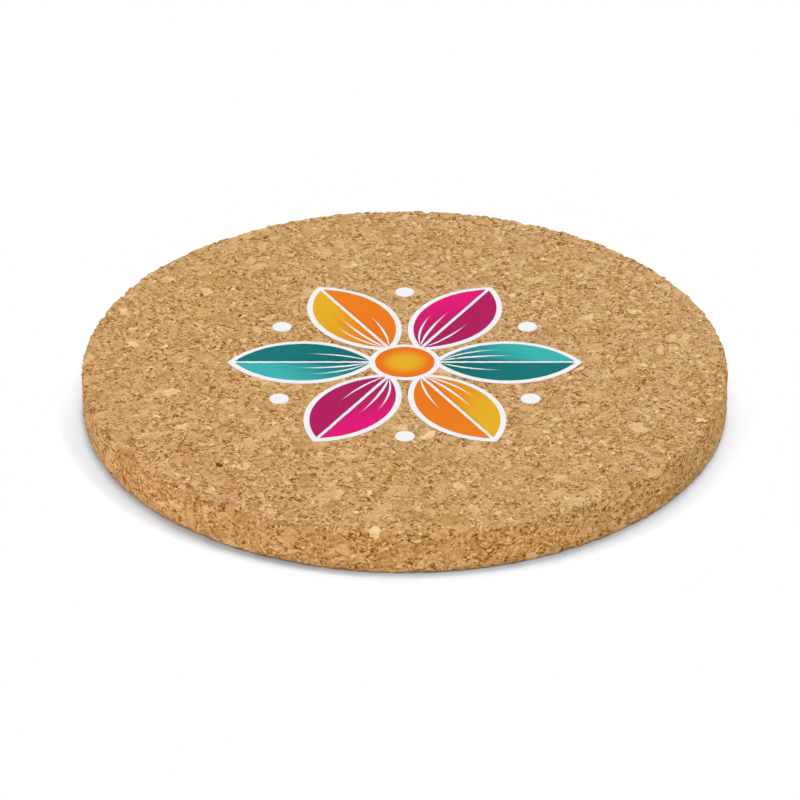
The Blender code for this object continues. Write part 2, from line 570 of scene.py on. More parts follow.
def print_distance(points, ink):
    """Distance from points on the top face to the edge of the white ink, less than 0 under it.

    One sector is looked at, by turning each point into it. A bordered petal is where two circles overlap, so
    its distance is the larger of the two circles' distances. The hub's ring and a dot are circles too, and
    the print's distance is the least of all.
    """
    sector = np.arctan2(points[:, 1], points[:, 0])
    sector = np.abs((sector + PETAL_PITCH / 2) % PETAL_PITCH - PETAL_PITCH / 2)
    reach = np.hypot(points[:, 0], points[:, 1])
    x, y = reach * np.cos(sector), reach * np.sin(sector)
    middle, centre_y, radius = petal_side(ink)
    from_one, from_other = np.hypot(x - middle, y - centre_y), np.hypot(x - middle, y + centre_y)
    petal = np.maximum(from_one, from_other) - radius - ink.border
    hub = reach - ink.hub_radius - ink.border
    dot_x, dot_y = ink.dot_orbit * math.cos(PETAL_PITCH / 2), ink.dot_orbit * math.sin(PETAL_PITCH / 2)
    dot = np.hypot(x - dot_x, y - dot_y) - ink.dot_radius
    return np.minimum(np.minimum(petal, hub), dot)


def face_depth(points, cork, ink):
    """How far the cork lies under its nominal face at points on that face, and their granules' numbers.

    The depth is the sum of each granule's own level, the rounding towards its seam, and a pit where its tone
    is among the darkest. Under the print, and close to it, the ink has filled a share of it.
    """
    numbers, wall = granules(points, cork)
    depth = cork.level * numbers[:, 2]
    depth += cork.rounding * (1 - smoothstep(0.0, SEAM_REACH, wall))
    depth += cork.pit * (1 - smoothstep(*PIT_TONES, numbers[:, 1])) * smoothstep(0.0, PIT_REACH, wall)
    bare = smoothstep(0.0, INK_SPREAD, print_distance(points, ink))
    on_top = smoothstep(cork.thickness - TOP_DEPTHS[0], cork.thickness - TOP_DEPTHS[1], points[:, 2])
    return depth * (1 - on_top * (1 - bare) * INK_FILL), numbers


def rim_weight(points, cork):
    """How near a point is to the cut edges.

    A bell round each edge's corner, exp(-(d / b)^2) of its distance d and the bell's width b, the lower one
    weaker.
    """
    reach = np.hypot(points[:, 0], points[:, 1]) - cork.radius
    top = np.exp(-(reach**2 + (points[:, 2] - cork.thickness) ** 2) / RIM_BELL**2)
    bottom = np.exp(-(reach**2 + points[:, 2] ** 2) / RIM_BELL**2)
    return np.maximum(top, FOOT_CHIP_SHARE * bottom)


def disc_face(cells, radius, height):
    """Points of a level disc: a square grid of cells by cells bent onto it.

    A point (a, b) of the square goes to the share max(|a|, |b|) of the radius, and to the angle that the
    point is along the side of the square it lies on, so the square's outline lands on the circle in equal
    steps.
    """
    side = np.linspace(-1.0, 1.0, cells + 1)
    a, b = np.meshgrid(side, side, indexing="ij")
    wide = np.abs(a) > np.abs(b)
    share = np.where(wide, a, b)
    safe = np.where(share == 0, 1.0, share)
    angle = np.where(wide, math.pi / 4 * b / safe, math.pi / 2 - math.pi / 4 * a / safe)
    x, y = share * np.cos(angle), share * np.sin(angle)
    return np.stack([x * radius, y * radius, np.full_like(x, height)], axis=-1).reshape(-1, 3)


def outline_indices(cells):
    """Indices of the square grid's outline, counter-clockwise from the corner (1, -1)."""
    index = np.arange((cells + 1) ** 2).reshape(cells + 1, cells + 1)
    return np.concatenate([index[-1, :-1], index[:0:-1, -1], index[0, :0:-1], index[:-1, 0]])


def grid_quads(index):
    """Quads of a grid of point indices.

    They face up where the first index runs along +X and the second along +Y.
    """
    corners = [index[:-1, :-1], index[1:, :-1], index[1:, 1:], index[:-1, 1:]]
    return np.stack(corners, axis=-1).reshape(-1, 4)


def edge_profile(cork):
    """The cork's cut edge from the top face down: each row's reach, its height and its normal's tilt from +Z.

    A quarter circle, the upright wall, and a second quarter circle that ends on the table.
    """
    e, f = cork.edge_radius, cork.foot_radius
    bend = np.linspace(0, math.pi / 2, EDGE_POINTS)[1:]
    wall = np.linspace(cork.thickness - e, f, WALL_POINTS)[1:-1]
    foot = np.linspace(math.pi / 2, math.pi, FOOT_POINTS)
    upright = np.full_like(wall, cork.radius)
    reach = np.concatenate([cork.radius - e + e * np.sin(bend), upright, cork.radius - f + f * np.sin(foot)])
    height = np.concatenate([cork.thickness - e + e * np.cos(bend), wall, f + f * np.cos(foot)])
    tilt = np.concatenate([bend, np.full_like(wall, math.pi / 2), foot])
    return reach, height, tilt


def carried_round(reach, height, angle):
    """A profile's rows of reach and height, each carried round the upright axis to every angle."""
    rows = np.repeat(height[:, None], len(angle), axis=1)
    return np.stack([np.outer(reach, np.cos(angle)), np.outer(reach, np.sin(angle)), rows], axis=-1)


def joining_strip(fine, coarse):
    """Triangles from a closed outline to one inside it that has half as many points.

    Two steps of the outer one face a step of the inner one: each of the three is the base of one triangle.
    """
    left, mid, right = fine[:-1:2], fine[1::2], fine[2::2]
    first, second = coarse[:-1], coarse[1:]
    corners = ((left, first, mid), (mid, second, right), (mid, first, second))
    return np.concatenate([np.stack(triangle, axis=1) for triangle in corners])


def cork_surface(cork):
    """Points, outward normals, quads and triangles of the bare disc, before its relief.

    The top is a square grid bent onto a disc. Its outline is carried down the edge profile. The underside is
    a grid of half as many cells, a step smaller, and a strip of triangles joins it to the profile's last row.
    """
    n, half, around = cork.cells, cork.cells // 2, 4 * cork.cells
    inset = 1 - 2 * math.pi / around
    face = disc_face(n, cork.radius - cork.edge_radius, cork.thickness)
    base = disc_face(half, (cork.radius - cork.foot_radius) * inset, 0.0)
    reach, height, tilt = edge_profile(cork)
    angle = -math.pi / 4 + np.arange(around) * (math.pi / 2 / n)
    side = carried_round(reach, height, angle).reshape(-1, 3)
    out = carried_round(np.sin(tilt), np.cos(tilt), angle).reshape(-1, 3)
    up, down = np.broadcast_to((0.0, 0.0, 1.0), face.shape), np.broadcast_to((0.0, 0.0, -1.0), base.shape)
    points = np.concatenate([face, side, base])
    normals = np.concatenate([up, out, down])

    base_start = len(face) + len(side)
    face_index = np.arange(len(face)).reshape(n + 1, n + 1)
    side_index = np.arange(len(face), base_start).reshape(len(reach), around)
    base_index = np.arange(base_start, len(points)).reshape(half + 1, half + 1)
    bands = np.concatenate([outline_indices(n)[None], side_index])
    bands = np.concatenate([bands, bands[:, :1]], axis=1)
    quads = np.concatenate([grid_quads(face_index), grid_quads(bands), grid_quads(base_index)[:, ::-1]])
    coarse = base_start + outline_indices(half)
    return points, normals, quads, joining_strip(bands[-1], np.append(coarse, coarse[0]))


def weld(points, quads, uv):
    """Joins points that fall together, and turns quads that a joined side has narrowed into triangles."""
    places = np.round(points / WELD_STEP).astype(np.int64)
    _, first, joined = np.unique(places, axis=0, return_index=True, return_inverse=True)
    quads = joined.ravel()[quads]
    closed = quads == np.roll(quads, -1, axis=1)
    whole = ~closed.any(axis=1)
    narrow = closed.sum(axis=1) == 1
    start = closed[narrow].argmax(axis=1)[:, None]
    triangles = np.take_along_axis(quads[narrow], (start + np.arange(1, 4)) % 4, axis=1)
    return points[first], quads[whole], triangles, uv[first]


def add_film(name, points, quads, uv, layer, cork, ink):
    """A thin closed film from flat points and upward quads, draped over the cork.

    Its lower and upper faces follow the cork at the layer's two heights. A wall joins them along every edge
    that only one face has.
    """
    points, quads, triangles, uv = weld(points, quads, uv)
    count = len(points)
    depth, _ = face_depth(np.column_stack([points, np.full(count, cork.thickness)]), cork, ink)
    bottom, top = (height - depth for height in layer)
    starts = np.concatenate([quads.ravel(), triangles.ravel()])
    ends = np.concatenate([np.roll(quads, -1, axis=1).ravel(), np.roll(triangles, -1, axis=1).ravel()])
    outer = ~np.isin(starts * count + ends, ends * count + starts)
    a, b = starts[outer], ends[outer]
    walls = np.stack([b, a, a + count, b + count], axis=1)
    piece = make_piece(
        name,
        np.concatenate([np.column_stack([points, top]), np.column_stack([points, bottom])]),
        np.concatenate([quads, quads[:, ::-1] + count, walls]),
        np.concatenate([triangles, triangles[:, ::-1] + count]),
        np.concatenate([uv, uv]),
    )
    piece.data.set_sharp_from_angle(angle=SHARP_EDGE)
    return piece


def turned(points, angle):
    """Flat points turned about the rosette's centre."""
    c, s = math.cos(angle), math.sin(angle)
    return points @ np.array([[c, s], [-s, c]])


def petal_side(ink):
    """The circle of a petal's coloured side: its centre's places along and across the petal, and its radius.

    The radius follows from the side's half chord and its height above the midrib's edge.
    """
    half_chord = (ink.petal_tip - ink.petal_start) / 2
    height = ink.petal_half_width - ink.rib_offset
    radius = (half_chord**2 + height**2) / (2 * height)
    return ink.petal_start + half_chord, ink.petal_half_width - radius, radius


def flat_grid(points):
    """A grid of flat points as one list of points, and its quads."""
    index = np.arange(points.shape[0] * points.shape[1]).reshape(points.shape[:2])
    return points.reshape(-1, 2), grid_quads(index)


def strip_grid(x, low, high, across):
    """A flat grid whose columns stand at x and run from low to high in equal steps.

    Gives its points, its quads and (u, v), which run from 0 to 1 along the grid and across it.
    """
    v = np.linspace(0.0, 1.0, across + 1)
    u = (x - x[0]) / (x[-1] - x[0])
    y = low[:, None] + (high - low)[:, None] * v
    points, quads = flat_grid(np.stack(np.broadcast_arrays(x[:, None], y), axis=-1))
    uv = np.stack(np.broadcast_arrays(u[:, None], v), axis=-1)
    return points, quads, uv.reshape(-1, 2)


def petal_half(ink):
    """The coloured half of a petal on the +Y side of its midrib.

    Columns stand on the straight midrib edge, closer together towards both ends, and rise to the circle of
    the side. u runs along the petal from the hub, v from the midrib to the side.
    """
    along, across = PETAL_CELLS
    middle, centre_y, radius = petal_side(ink)
    bend = np.linspace(0.0, math.pi, along + 1)
    x = middle - (ink.petal_tip - ink.petal_start) / 2 * np.cos(bend)
    high = centre_y + np.sqrt(radius**2 - (x - middle) ** 2)
    low = np.full_like(x, ink.rib_offset)
    return strip_grid(x, low, np.maximum(high, low), across)


def disc_grid(radius, rings, sides):
    """A flat disc of rings and spokes, with its plain place across the disc as (u, v)."""
    reach = np.linspace(0.0, radius, rings + 1)[:, None]
    angle = np.linspace(0.0, 2 * math.pi, sides + 1)[None]
    points, quads = flat_grid(np.stack([reach * np.cos(angle), reach * np.sin(angle)], axis=-1))
    return points, quads, 0.5 + points / (2 * radius)


def underbase_half(ink):
    """The white under half a petal and half the gap beside it, as two grids that share their points.

    The outer grid runs from where the petal's bordered side meets the hub's ring out to the tip. The inner
    one is a fan from the centre, out to the outer grid's first column, and from there along the ring to
    midway between two petals.
    """
    along, across = UNDERBASE_CELLS
    middle, centre_y, radius = petal_side(ink)
    radius += ink.border
    ring = ink.hub_radius + ink.border
    # The circles cross on the line that is square to the one joining their centres
    apart = math.hypot(middle, centre_y)
    inward = (apart**2 + ring**2 - radius**2) / (2 * apart)
    aside = math.sqrt(ring**2 - inward**2)
    meet_x = (inward * middle - aside * centre_y) / apart
    meet_y = (inward * centre_y + aside * middle) / apart
    tip = middle + math.sqrt(radius**2 - centre_y**2)
    bend = np.linspace(0.0, 1.0, along + 1)
    x = meet_x + (tip - meet_x) * (1 - (1 - bend) ** TIP_CROWDING)
    high = centre_y + np.sqrt(np.maximum(radius**2 - (x - middle) ** 2, 0.0))
    high[0], high[-1] = meet_y, 0.0
    outer, outer_quads, _ = strip_grid(x, np.zeros_like(x), high, across)
    rise = meet_y * np.linspace(0.0, 1.0, across + 1)
    sweep = np.linspace(math.atan2(meet_y, meet_x), PETAL_PITCH / 2, UNDERBASE_GAP_CELLS + 1)[1:]
    edge_x = np.concatenate([np.full_like(rise, meet_x), ring * np.cos(sweep)])
    edge_y = np.concatenate([rise, ring * np.sin(sweep)])
    reach = np.linspace(0.0, 1.0, UNDERBASE_RINGS + 1)[:, None]
    fan, fan_quads = flat_grid(np.stack([reach * edge_x, reach * edge_y], axis=-1))
    return np.concatenate([outer, fan]), np.concatenate([outer_quads, fan_quads + len(outer)])


def underbase_grid(ink):
    """The whole white underbase: its half, mirrored, and turned to every petal. (u, v) is in millimetres."""
    half, quads = underbase_half(ink)
    points = np.concatenate([half, half * (1, -1)])
    quads = np.concatenate([quads, quads[:, ::-1] + len(half)])
    turns = [turned(points, k * PETAL_PITCH) for k in range(PETAL_COUNT)]
    all_quads = np.concatenate([quads + k * len(points) for k in range(PETAL_COUNT)])
    points = np.concatenate(turns)
    return points, all_quads, points / MM


# Materials


class Value:
    """A node's output in a Python expression. Arithmetic on it adds Math nodes to its material."""

    def __init__(self, net, socket):
        self.net = net
        self.socket = socket

    def of(self, name):
        """Another output of the same node."""
        return Value(self.net, self.socket.node.outputs[name])

    def __add__(self, other):
        return self.net.math("ADD", self, other)

    __radd__ = __add__

    def __sub__(self, other):
        return self.net.math("SUBTRACT", self, other)

    def __rsub__(self, other):
        return self.net.math("SUBTRACT", other, self)

    def __mul__(self, other):
        return self.net.math("MULTIPLY", self, other)

    __rmul__ = __mul__

    def __gt__(self, other):
        return self.net.math("GREATER_THAN", self, other)


class Net:
    """The nodes of one material or world."""

    def __init__(self, owner):
        owner.use_nodes = True
        self.owner = owner
        self.tree = owner.node_tree
        self.tree.nodes.clear()

    def add(self, kind, options=None, sockets=None):
        """A node of a kind, with its options set first and then the values or links of its sockets.

        An option named stops holds a colour ramp's places and colours.
        """
        node = self.tree.nodes.new(kind)
        for name, value in (options or {}).items():
            if name == "stops":
                self.set_stops(node.color_ramp, value)
            else:
                setattr(node, name, value)
        for key, value in (sockets or {}).items():
            socket = node.inputs[key] if isinstance(key, int) else self.find(node, key)
            if isinstance(value, Value):
                self.tree.links.new(value.socket, socket)
            else:
                socket.default_value = value
        outputs = [s for s in node.outputs if s.enabled]
        return Value(self, outputs[0]) if outputs else None

    def find(self, node, name):
        """The socket of that name that the node's options leave in use."""
        return next(s for s in node.inputs if s.enabled and s.name == name)

    def set_stops(self, ramp, stops):
        """Puts a ramp's stops at the given places, with the given colours."""
        while len(ramp.elements) < len(stops):
            ramp.elements.new(0.5)
        for element, (place, colour) in zip(ramp.elements, stops):
            element.position = place
            element.color = (*colour, 1.0)

    def math(self, operation, *operands):
        """A Math node."""
        return self.add("ShaderNodeMath", {"operation": operation}, dict(enumerate(operands)))

    def vector(self, operation, *operands, scale=None):
        """A Vector Math node."""
        sockets = dict(enumerate(operands))
        if scale is not None:
            sockets["Scale"] = scale
        return self.add("ShaderNodeVectorMath", {"operation": operation}, sockets)

    def split(self, vector):
        """The three parts of a vector or colour."""
        parts = self.add("ShaderNodeSeparateXYZ", None, {"Vector": vector})
        return parts, parts.of("Y"), parts.of("Z")

    def join(self, x, y, z):
        """A vector of three parts."""
        return self.add("ShaderNodeCombineXYZ", None, {"X": x, "Y": y, "Z": z})

    def mix(self, factor, first, second, blend="MIX"):
        """Two colours mixed."""
        first, second = (c if isinstance(c, Value) else (*c, 1.0) for c in (first, second))
        sockets = {"Factor": factor, "A": first, "B": second}
        return self.add("ShaderNodeMix", {"data_type": "RGBA", "blend_type": blend}, sockets)

    def ramp(self, factor, stops):
        """A colour ramp."""
        return self.add("ShaderNodeValToRGB", {"stops": stops}, {"Fac": factor})

    def step(self, value, low, high, start=0.0, end=1.0):
        """Runs smoothly from start to end as a value goes from low to high."""
        sockets = {"Value": value, "From Min": low, "From Max": high, "To Min": start, "To Max": end}
        return self.add("ShaderNodeMapRange", {"interpolation_type": "SMOOTHSTEP"}, sockets)

    def noise(self, vector, scale, detail=2.0, roughness=0.5):
        """Noise about 0.5 whose features repeat scale times in a unit of the vector."""
        sockets = {"Vector": vector, "Scale": scale, "Detail": detail, "Roughness": roughness}
        return self.add("ShaderNodeTexNoise", None, sockets)

    def cells(self, vector, feature):
        """A Voronoi pattern at its plain scale."""
        sockets = {"Vector": vector, "Scale": 1.0, "Randomness": 1.0}
        return self.add("ShaderNodeTexVoronoi", {"feature": feature}, sockets)

    def mix_shader(self, factor, first, second):
        """Two shaders mixed."""
        return self.add("ShaderNodeMixShader", None, {0: factor, 1: first, 2: second})

    def surface(self, colour, roughness, gloss, height, depth):
        """The Principled surface that ends a material, with a bump as deep as depth where height is 1."""
        bump = self.add("ShaderNodeBump", None, {"Height": height, "Distance": depth})
        sockets = {"Base Color": colour, "Roughness": roughness, "Specular IOR Level": gloss, "Normal": bump}
        shader = self.add("ShaderNodeBsdfPrincipled", None, sockets)
        self.add("ShaderNodeOutputMaterial", None, {"Surface": shader})


def millimetres(net):
    """Object coordinates in millimetres."""
    place = net.add("ShaderNodeTexCoord").of("Object")
    return net.vector("SCALE", place, scale=1 / MM)


def axis_distance(net, place):
    """Distance of a place from the coaster's upright axis."""
    x, y, _ = net.split(place)
    return net.math("SQRT", x * x + y * y)


def about_zero(net, numbers):
    """Three numbers from 0 to 1, as a direction that may point any way."""
    return net.vector("SUBTRACT", numbers, (0.5, 0.5, 0.5))


def cell_nodes(net, place):
    """A cell's three numbers, and a slope for painted tilt shade: the way from its seed along its own
    direction.
    """
    cell = net.cells(place, "F1")
    numbers = cell.of("Color")
    from_seed = net.vector("SUBTRACT", place, cell.of("Position"))
    return numbers, net.vector("DOT_PRODUCT", from_seed, about_zero(net, numbers))


def granule_nodes(net, place, cork):
    """The granule pattern of granules() as nodes, with a finer wobble on its seams and crumbs in it.

    Crumbs are cells drawn out into flakes, along a direction that each large cell has of its own. They fill a
    share of the small granules. Gives a granule's tone and level, the distance to its seam in millimetres, a
    slope across it for painted shade as if the granule were tilted, 1 where it is a crumb, and the tone of
    the flake there, which shows inside a granule too.
    """
    x, y, z = net.split(place)
    long_wave = net.vector("MULTIPLY_ADD", net.join(y, z, x), (WARP_LONG_WAVES,) * 3, WARP_LONG_PHASES)
    short_wave = net.vector("MULTIPLY_ADD", net.join(z, x, y), (WARP_SHORT_WAVES,) * 3, WARP_SHORT_PHASES)
    bent = net.vector("MULTIPLY_ADD", net.vector("SINE", long_wave), (WARP_LONG,) * 3, place)
    bent = net.vector("MULTIPLY_ADD", net.vector("SINE", short_wave), (WARP_SHORT,) * 3, bent)
    wobble = about_zero(net, net.noise(place, *WOBBLE).of("Color"))
    bent = net.vector("MULTIPLY_ADD", wobble, (WOBBLE_DEPTH,) * 3, bent)
    bent = net.vector("MULTIPLY", bent, (1.0, 1.0, cork.flatness))
    coarse, fine, crumb = cork.coarse / MM, cork.fine / MM, cork.crumb / MM
    large_at = net.vector("SCALE", bent, scale=1 / coarse)
    small_at = net.vector("MULTIPLY_ADD", bent, (1 / fine,) * 3, FINE_SHIFT)
    large_numbers, large_tilt_shade = cell_nodes(net, large_at)
    small_numbers, small_tilt_shade = cell_nodes(net, small_at)
    way = net.vector("NORMALIZE", about_zero(net, large_numbers))
    along = net.vector("DOT_PRODUCT", bent, way)
    drawn = net.vector("SUBTRACT", bent, net.vector("SCALE", way, scale=along * FLAKE_DRAW))
    crumb_at = net.vector("MULTIPLY_ADD", drawn, (1 / crumb,) * 3, CRUMB_SHIFT)
    crumb_numbers, crumb_tilt_shade = cell_nodes(net, crumb_at)
    large_wall = net.cells(large_at, "DISTANCE_TO_EDGE") * coarse
    small_wall = net.math("MINIMUM", net.cells(small_at, "DISTANCE_TO_EDGE") * fine, large_wall)
    crumb_wall = net.math("MINIMUM", net.cells(crumb_at, "DISTANCE_TO_EDGE") * crumb, small_wall)
    large = net.split(large_numbers)[0] > cork.small_share
    whole = net.math("MAXIMUM", large, net.split(small_numbers)[0] > cork.crumb_share)
    numbers = net.mix(whole, crumb_numbers, net.mix(large, small_numbers, large_numbers))
    wall = small_wall + large * (large_wall - small_wall)
    wall = crumb_wall + whole * (wall - crumb_wall)
    # The slope is painted shade across each granule, as if it were tilted
    slope = small_tilt_shade + large * (large_tilt_shade * LARGE_TILT_SHADE_SHARE - small_tilt_shade)
    slope = crumb_tilt_shade + whole * (slope - crumb_tilt_shade)
    _, tone, level = net.split(numbers)
    flake = net.split(crumb_numbers)[1]
    return SimpleNamespace(tone=tone, level=level, wall=wall, slope=slope, crumb=1 - whole, flake=flake)


def cork_shade(net, place, granule, side, blotch, grain):
    """The cork's shade, from 0 in the deepest gap to 1 on the palest chip.

    The weighted sum of the granule's tone, three sizes of noise, painted shade across the granule as if it
    were tilted, and the flakes in it. The palest granules are lifted. Seams come and go in dashes of painted
    highlight and painted shade, and the darkest crumbs get painted shade as gaps, more and deeper ones on the
    cut side.
    """
    tone, crumb, whole = granule.tone, granule.crumb, 1 - granule.crumb
    mottle = net.noise(place, *MOTTLE)
    dash = net.noise(place, *DASHES)
    shade = (tone - 0.5) * (TONE_WEIGHT + crumb * CRUMB_TONE_WEIGHT) + (grain - 0.5) * GRAIN_WEIGHT
    shade = shade + (mottle - 0.5) * (MOTTLE_WEIGHT + side * SIDE_MOTTLE_WEIGHT)
    shade = shade + (blotch - 0.5) * BLOTCH_WEIGHT
    # Painted shade across each granule, as if it were tilted
    shade = shade + granule.slope * TILT_SHADE_WEIGHT + (granule.flake - 0.5) * whole * FLAKE_WEIGHT
    shade = shade + net.step(tone, *PALE_TONES) * PALE_WEIGHT
    shade = shade + net.step(tone, *PALEST_TONES) * whole * PALE_WEIGHT
    # Seams get dashes of painted highlight and painted shade
    seam_highlight = net.step(dash, *SEAM_HIGHLIGHT_DASHES, SEAM_HIGHLIGHT_WEIGHT, 0.0)
    seam_shade = net.step(dash, *SEAM_SHADE_DASHES, 0.0, SEAM_SHADE_WEIGHT)
    shade = shade + net.step(granule.wall, *SEAM_LINE, 1.0, 0.0) * (seam_highlight - seam_shade)
    # The darkest crumbs get painted shade, as gaps would hold
    gap_shade = net.step(tone - side * SIDE_GAP_TONE, *GAP_TONES, 1.0, 0.0) * crumb
    gap_shade = gap_shade * (TOP_GAP_SHADE + side * SIDE_GAP_SHADE)
    return MIDDLE_SHADE + shade * (1 + side * SIDE_CONTRAST) - gap_shade * GAP_SHADE_WEIGHT


def cork_material(cork):
    """Pressed cork: its shade picks a tan from a ramp, tints turn the hue, and seams and grain make a bump.

    The hue follows each granule's level and the blotches, and drifts across the disc in a painted tint of the
    light. The cut side is tinted, except at the far left, where it is painted paler, as if lit from the left.
    The rarest granules are flecks of bark.
    """
    net = Net(bpy.data.materials.new("granulated_cork"))
    place = millimetres(net)
    rim = cork.radius / MM
    granule = granule_nodes(net, place, cork)
    side = net.step(axis_distance(net, place), rim - SIDE_BAND[0], rim - SIDE_BAND[1])
    blotch = net.noise(place, *BLOTCH)
    grain = net.noise(place, *GRAIN)
    last = len(TAN_STEPS) - 1
    stops = [(k / last, srgb(*(TAN + step * TAN_RISE))) for k, step in enumerate(TAN_STEPS)]
    colour = net.ramp(cork_shade(net, place, granule, side, blotch, grain), stops)
    hue = net.ramp(granule.level * HUE_LEVEL_SHARE + blotch * (1 - HUE_LEVEL_SHARE), HUE_STOPS)
    colour = net.mix(1.0, colour, hue, "MULTIPLY")
    x, y, _ = net.split(place)
    # Towards the far left the side's tint gives way: painted paler light, as if lit from the left
    tinted = side * net.step(x, -rim, -SIDE_TINT_START * rim)
    colour = net.mix(tinted, colour, tuple(cork.side_tint), "MULTIPLY")
    # A painted tint of the light across the disc
    light_drift = net.ramp((x + y * DRIFT_SLANT) * (1 / DRIFT_WIDTH) + 0.5, DRIFT_STOPS)
    colour = net.mix(1.0, colour, light_drift, "MULTIPLY")
    fleck = net.step(granule.tone - side * SIDE_BARK_TONE, *BARK_TONES, 1.0, 0.0)
    fleck = fleck * (1 - granule.crumb) * (1 - side * SIDE_BARK_FADE)
    colour = net.mix(fleck, colour, tuple(cork.bark), "MULTIPLY")
    height = net.step(granule.wall, 0.0, SEAM_BUMP_REACH) * SEAM_BUMP + granule.level * LEVEL_BUMP
    net.surface(colour, CORK_ROUGHNESS, CORK_GLOSS, height + grain * GRAIN_BUMP, CORK_BUMP)
    return net.owner


def film_place(net):
    """The two numbers of a film's own map."""
    u, v, _ = net.split(net.add("ShaderNodeUVMap", {"uv_map": FILM_MAP}))
    return u, v


def ink_surface(net, colour):
    """Satin ink, a little uneven: where the film is thin, some tan comes through and the gloss is duller."""
    place = millimetres(net)
    grain = net.noise(place, *INK_GRAIN)
    cloud = net.noise(place, *INK_CLOUD)
    thin = net.step(grain * INK_GRAIN_SHARE + cloud * (1 - INK_GRAIN_SHARE), *THIN_INK)
    colour = net.mix(thin * TAN_THROUGH_SHARE, colour, TAN_THROUGH_INK)
    net.surface(colour, INK_ROUGHNESS + thin * THIN_INK_ROUGHNESS, INK_GLOSS, grain, INK_BUMP)


def white_material(ink):
    """Opaque white ink, made once and shared."""
    name = "printed_white"
    if name not in bpy.data.materials:
        ink_surface(Net(bpy.data.materials.new(name)), tuple(ink.white))
    return bpy.data.materials[name]


def hub_material(ink):
    """Orange ink that turns to amber towards the hub's middle."""
    net = Net(bpy.data.materials.new("printed_orange"))
    u, v = film_place(net)
    x, y = u * 2 - 1, v * 2 - 1
    outward = net.step(x * x + y * y, 0.0, HUB_BLEND)
    ink_surface(net, net.mix(outward, tuple(ink.amber), tuple(ink.orange)))
    return net.owner


def petal_material(name, start, end, white, streaks):
    """Ink that runs in soft strokes from one colour at the hub to another at the tip, with white streaks.

    A streak's half width tapers evenly from the hub to nothing where it ends.
    """
    net = Net(bpy.data.materials.new(name))
    u, v = film_place(net)
    stroke = net.noise(net.join(u * STROKE_WAVES[0], v * STROKE_WAVES[1], 0.0), 1.0)
    along = u + v * STROKE_LEAN + (stroke - 0.5) * STROKE_DEPTH
    colour = net.mix(net.step(along, *STROKE_BAND), start, end)
    for place, width, reach in streaks:
        taper = (1 - u * (1 / reach)) * width
        off = net.math("ABSOLUTE", v - place)
        colour = net.mix(net.step(off - taper, -STREAK_EDGE, STREAK_EDGE, 1.0, 0.0), colour, white)
    ink_surface(net, colour)
    return net.owner


# Pieces


def dress(piece, material, slot, *nodes):
    """Gives a piece its material, rides it on the body, and lets it stand for its nodes. The slot is not
    used.
    """
    piece.data.materials.append(material)
    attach(piece, BODY)
    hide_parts(*nodes)


class COASTER_OT_cork_disc(bpy.types.Operator):
    """Builds the cork disc with its granules, pits and chipped edge"""

    bl_idname = "coaster.cork_disc"
    bl_label = "Cork Disc"

    def execute(self, context):
        cork, ink, _ = settings()
        points, normals, quads, strip = cork_surface(cork)
        depth, numbers = face_depth(points, cork, ink)
        uneven = smoothstep(*CHIP_LEVELS, numbers[:, 2]) + CHIP_LEAN * (numbers[:, 0] - 0.5)
        depth += cork.chip * rim_weight(points, cork) * uneven
        piece = make_piece("cork_disc_granules", points - normals * depth[:, None], quads, strip)
        dress(piece, cork_material(cork), "cork", "cork_disc")
        return {"FINISHED"}


class COASTER_OT_white_underbase(bpy.types.Operator):
    """Builds the white ink under the rosette"""

    bl_idname = "coaster.white_underbase"
    bl_label = "White Underbase"

    def execute(self, context):
        cork, ink, _ = settings()
        layer = (UNDERBASE_LOW[2], UNDERBASE_HIGH[2])
        piece = add_film("white_underbase_film", *underbase_grid(ink), layer, cork, ink)
        dress(piece, white_material(ink), "white_ink", "white_underbase")
        return {"FINISHED"}


class COASTER_OT_hub(bpy.types.Operator):
    """Builds the orange hub"""

    bl_idname = "coaster.hub"
    bl_label = "Hub"

    def execute(self, context):
        cork, ink, _ = settings()
        layer = (HUB_LOW[2], HUB_HIGH[2])
        piece = add_film("hub_film", *disc_grid(ink.hub_radius, *HUB_CELLS), layer, cork, ink)
        dress(piece, hub_material(ink), "orange_ink", "hub_ink")
        return {"FINISHED"}


class COASTER_OT_petals(bpy.types.Operator):
    """Builds the two halves of every petal"""

    bl_idname = "coaster.petals"
    bl_label = "Petals"

    def execute(self, context):
        cork, ink, _ = settings()
        layer = (PETAL_LOW[2], PETAL_HIGH[2])
        white = tuple(ink.white)
        inks = []
        for name, light, deep in (
            ("teal", tuple(ink.teal), tuple(ink.deep_teal)),
            ("magenta", tuple(ink.magenta), tuple(ink.deep_magenta)),
            ("amber", tuple(ink.amber), tuple(ink.orange)),
        ):
            light_ink = petal_material(f"printed_{name}", deep, light, white, LIGHT_STREAKS)
            between = tuple(Vector(deep).lerp(Vector(light), SHADE_BLEND))
            deep_ink = petal_material(f"printed_deep_{name}", deep, between, white, SHADE_STREAKS)
            inks.append(((f"{name}_ink", light_ink), (f"deep_{name}_ink", deep_ink)))
        points, quads, uv = petal_half(ink)
        sides = (("light", points, quads), ("shade", points * (1, -1), quads[:, ::-1]))
        for k in range(PETAL_COUNT):
            for (side, outline, faces), (slot, material) in zip(sides, inks[k % len(inks)]):
                node = f"petal_{k + 1}_{side}"
                outline = turned(outline, k * PETAL_PITCH)
                piece = add_film(f"{node}_film", outline, faces, uv, layer, cork, ink)
                dress(piece, material, slot, node)
        return {"FINISHED"}


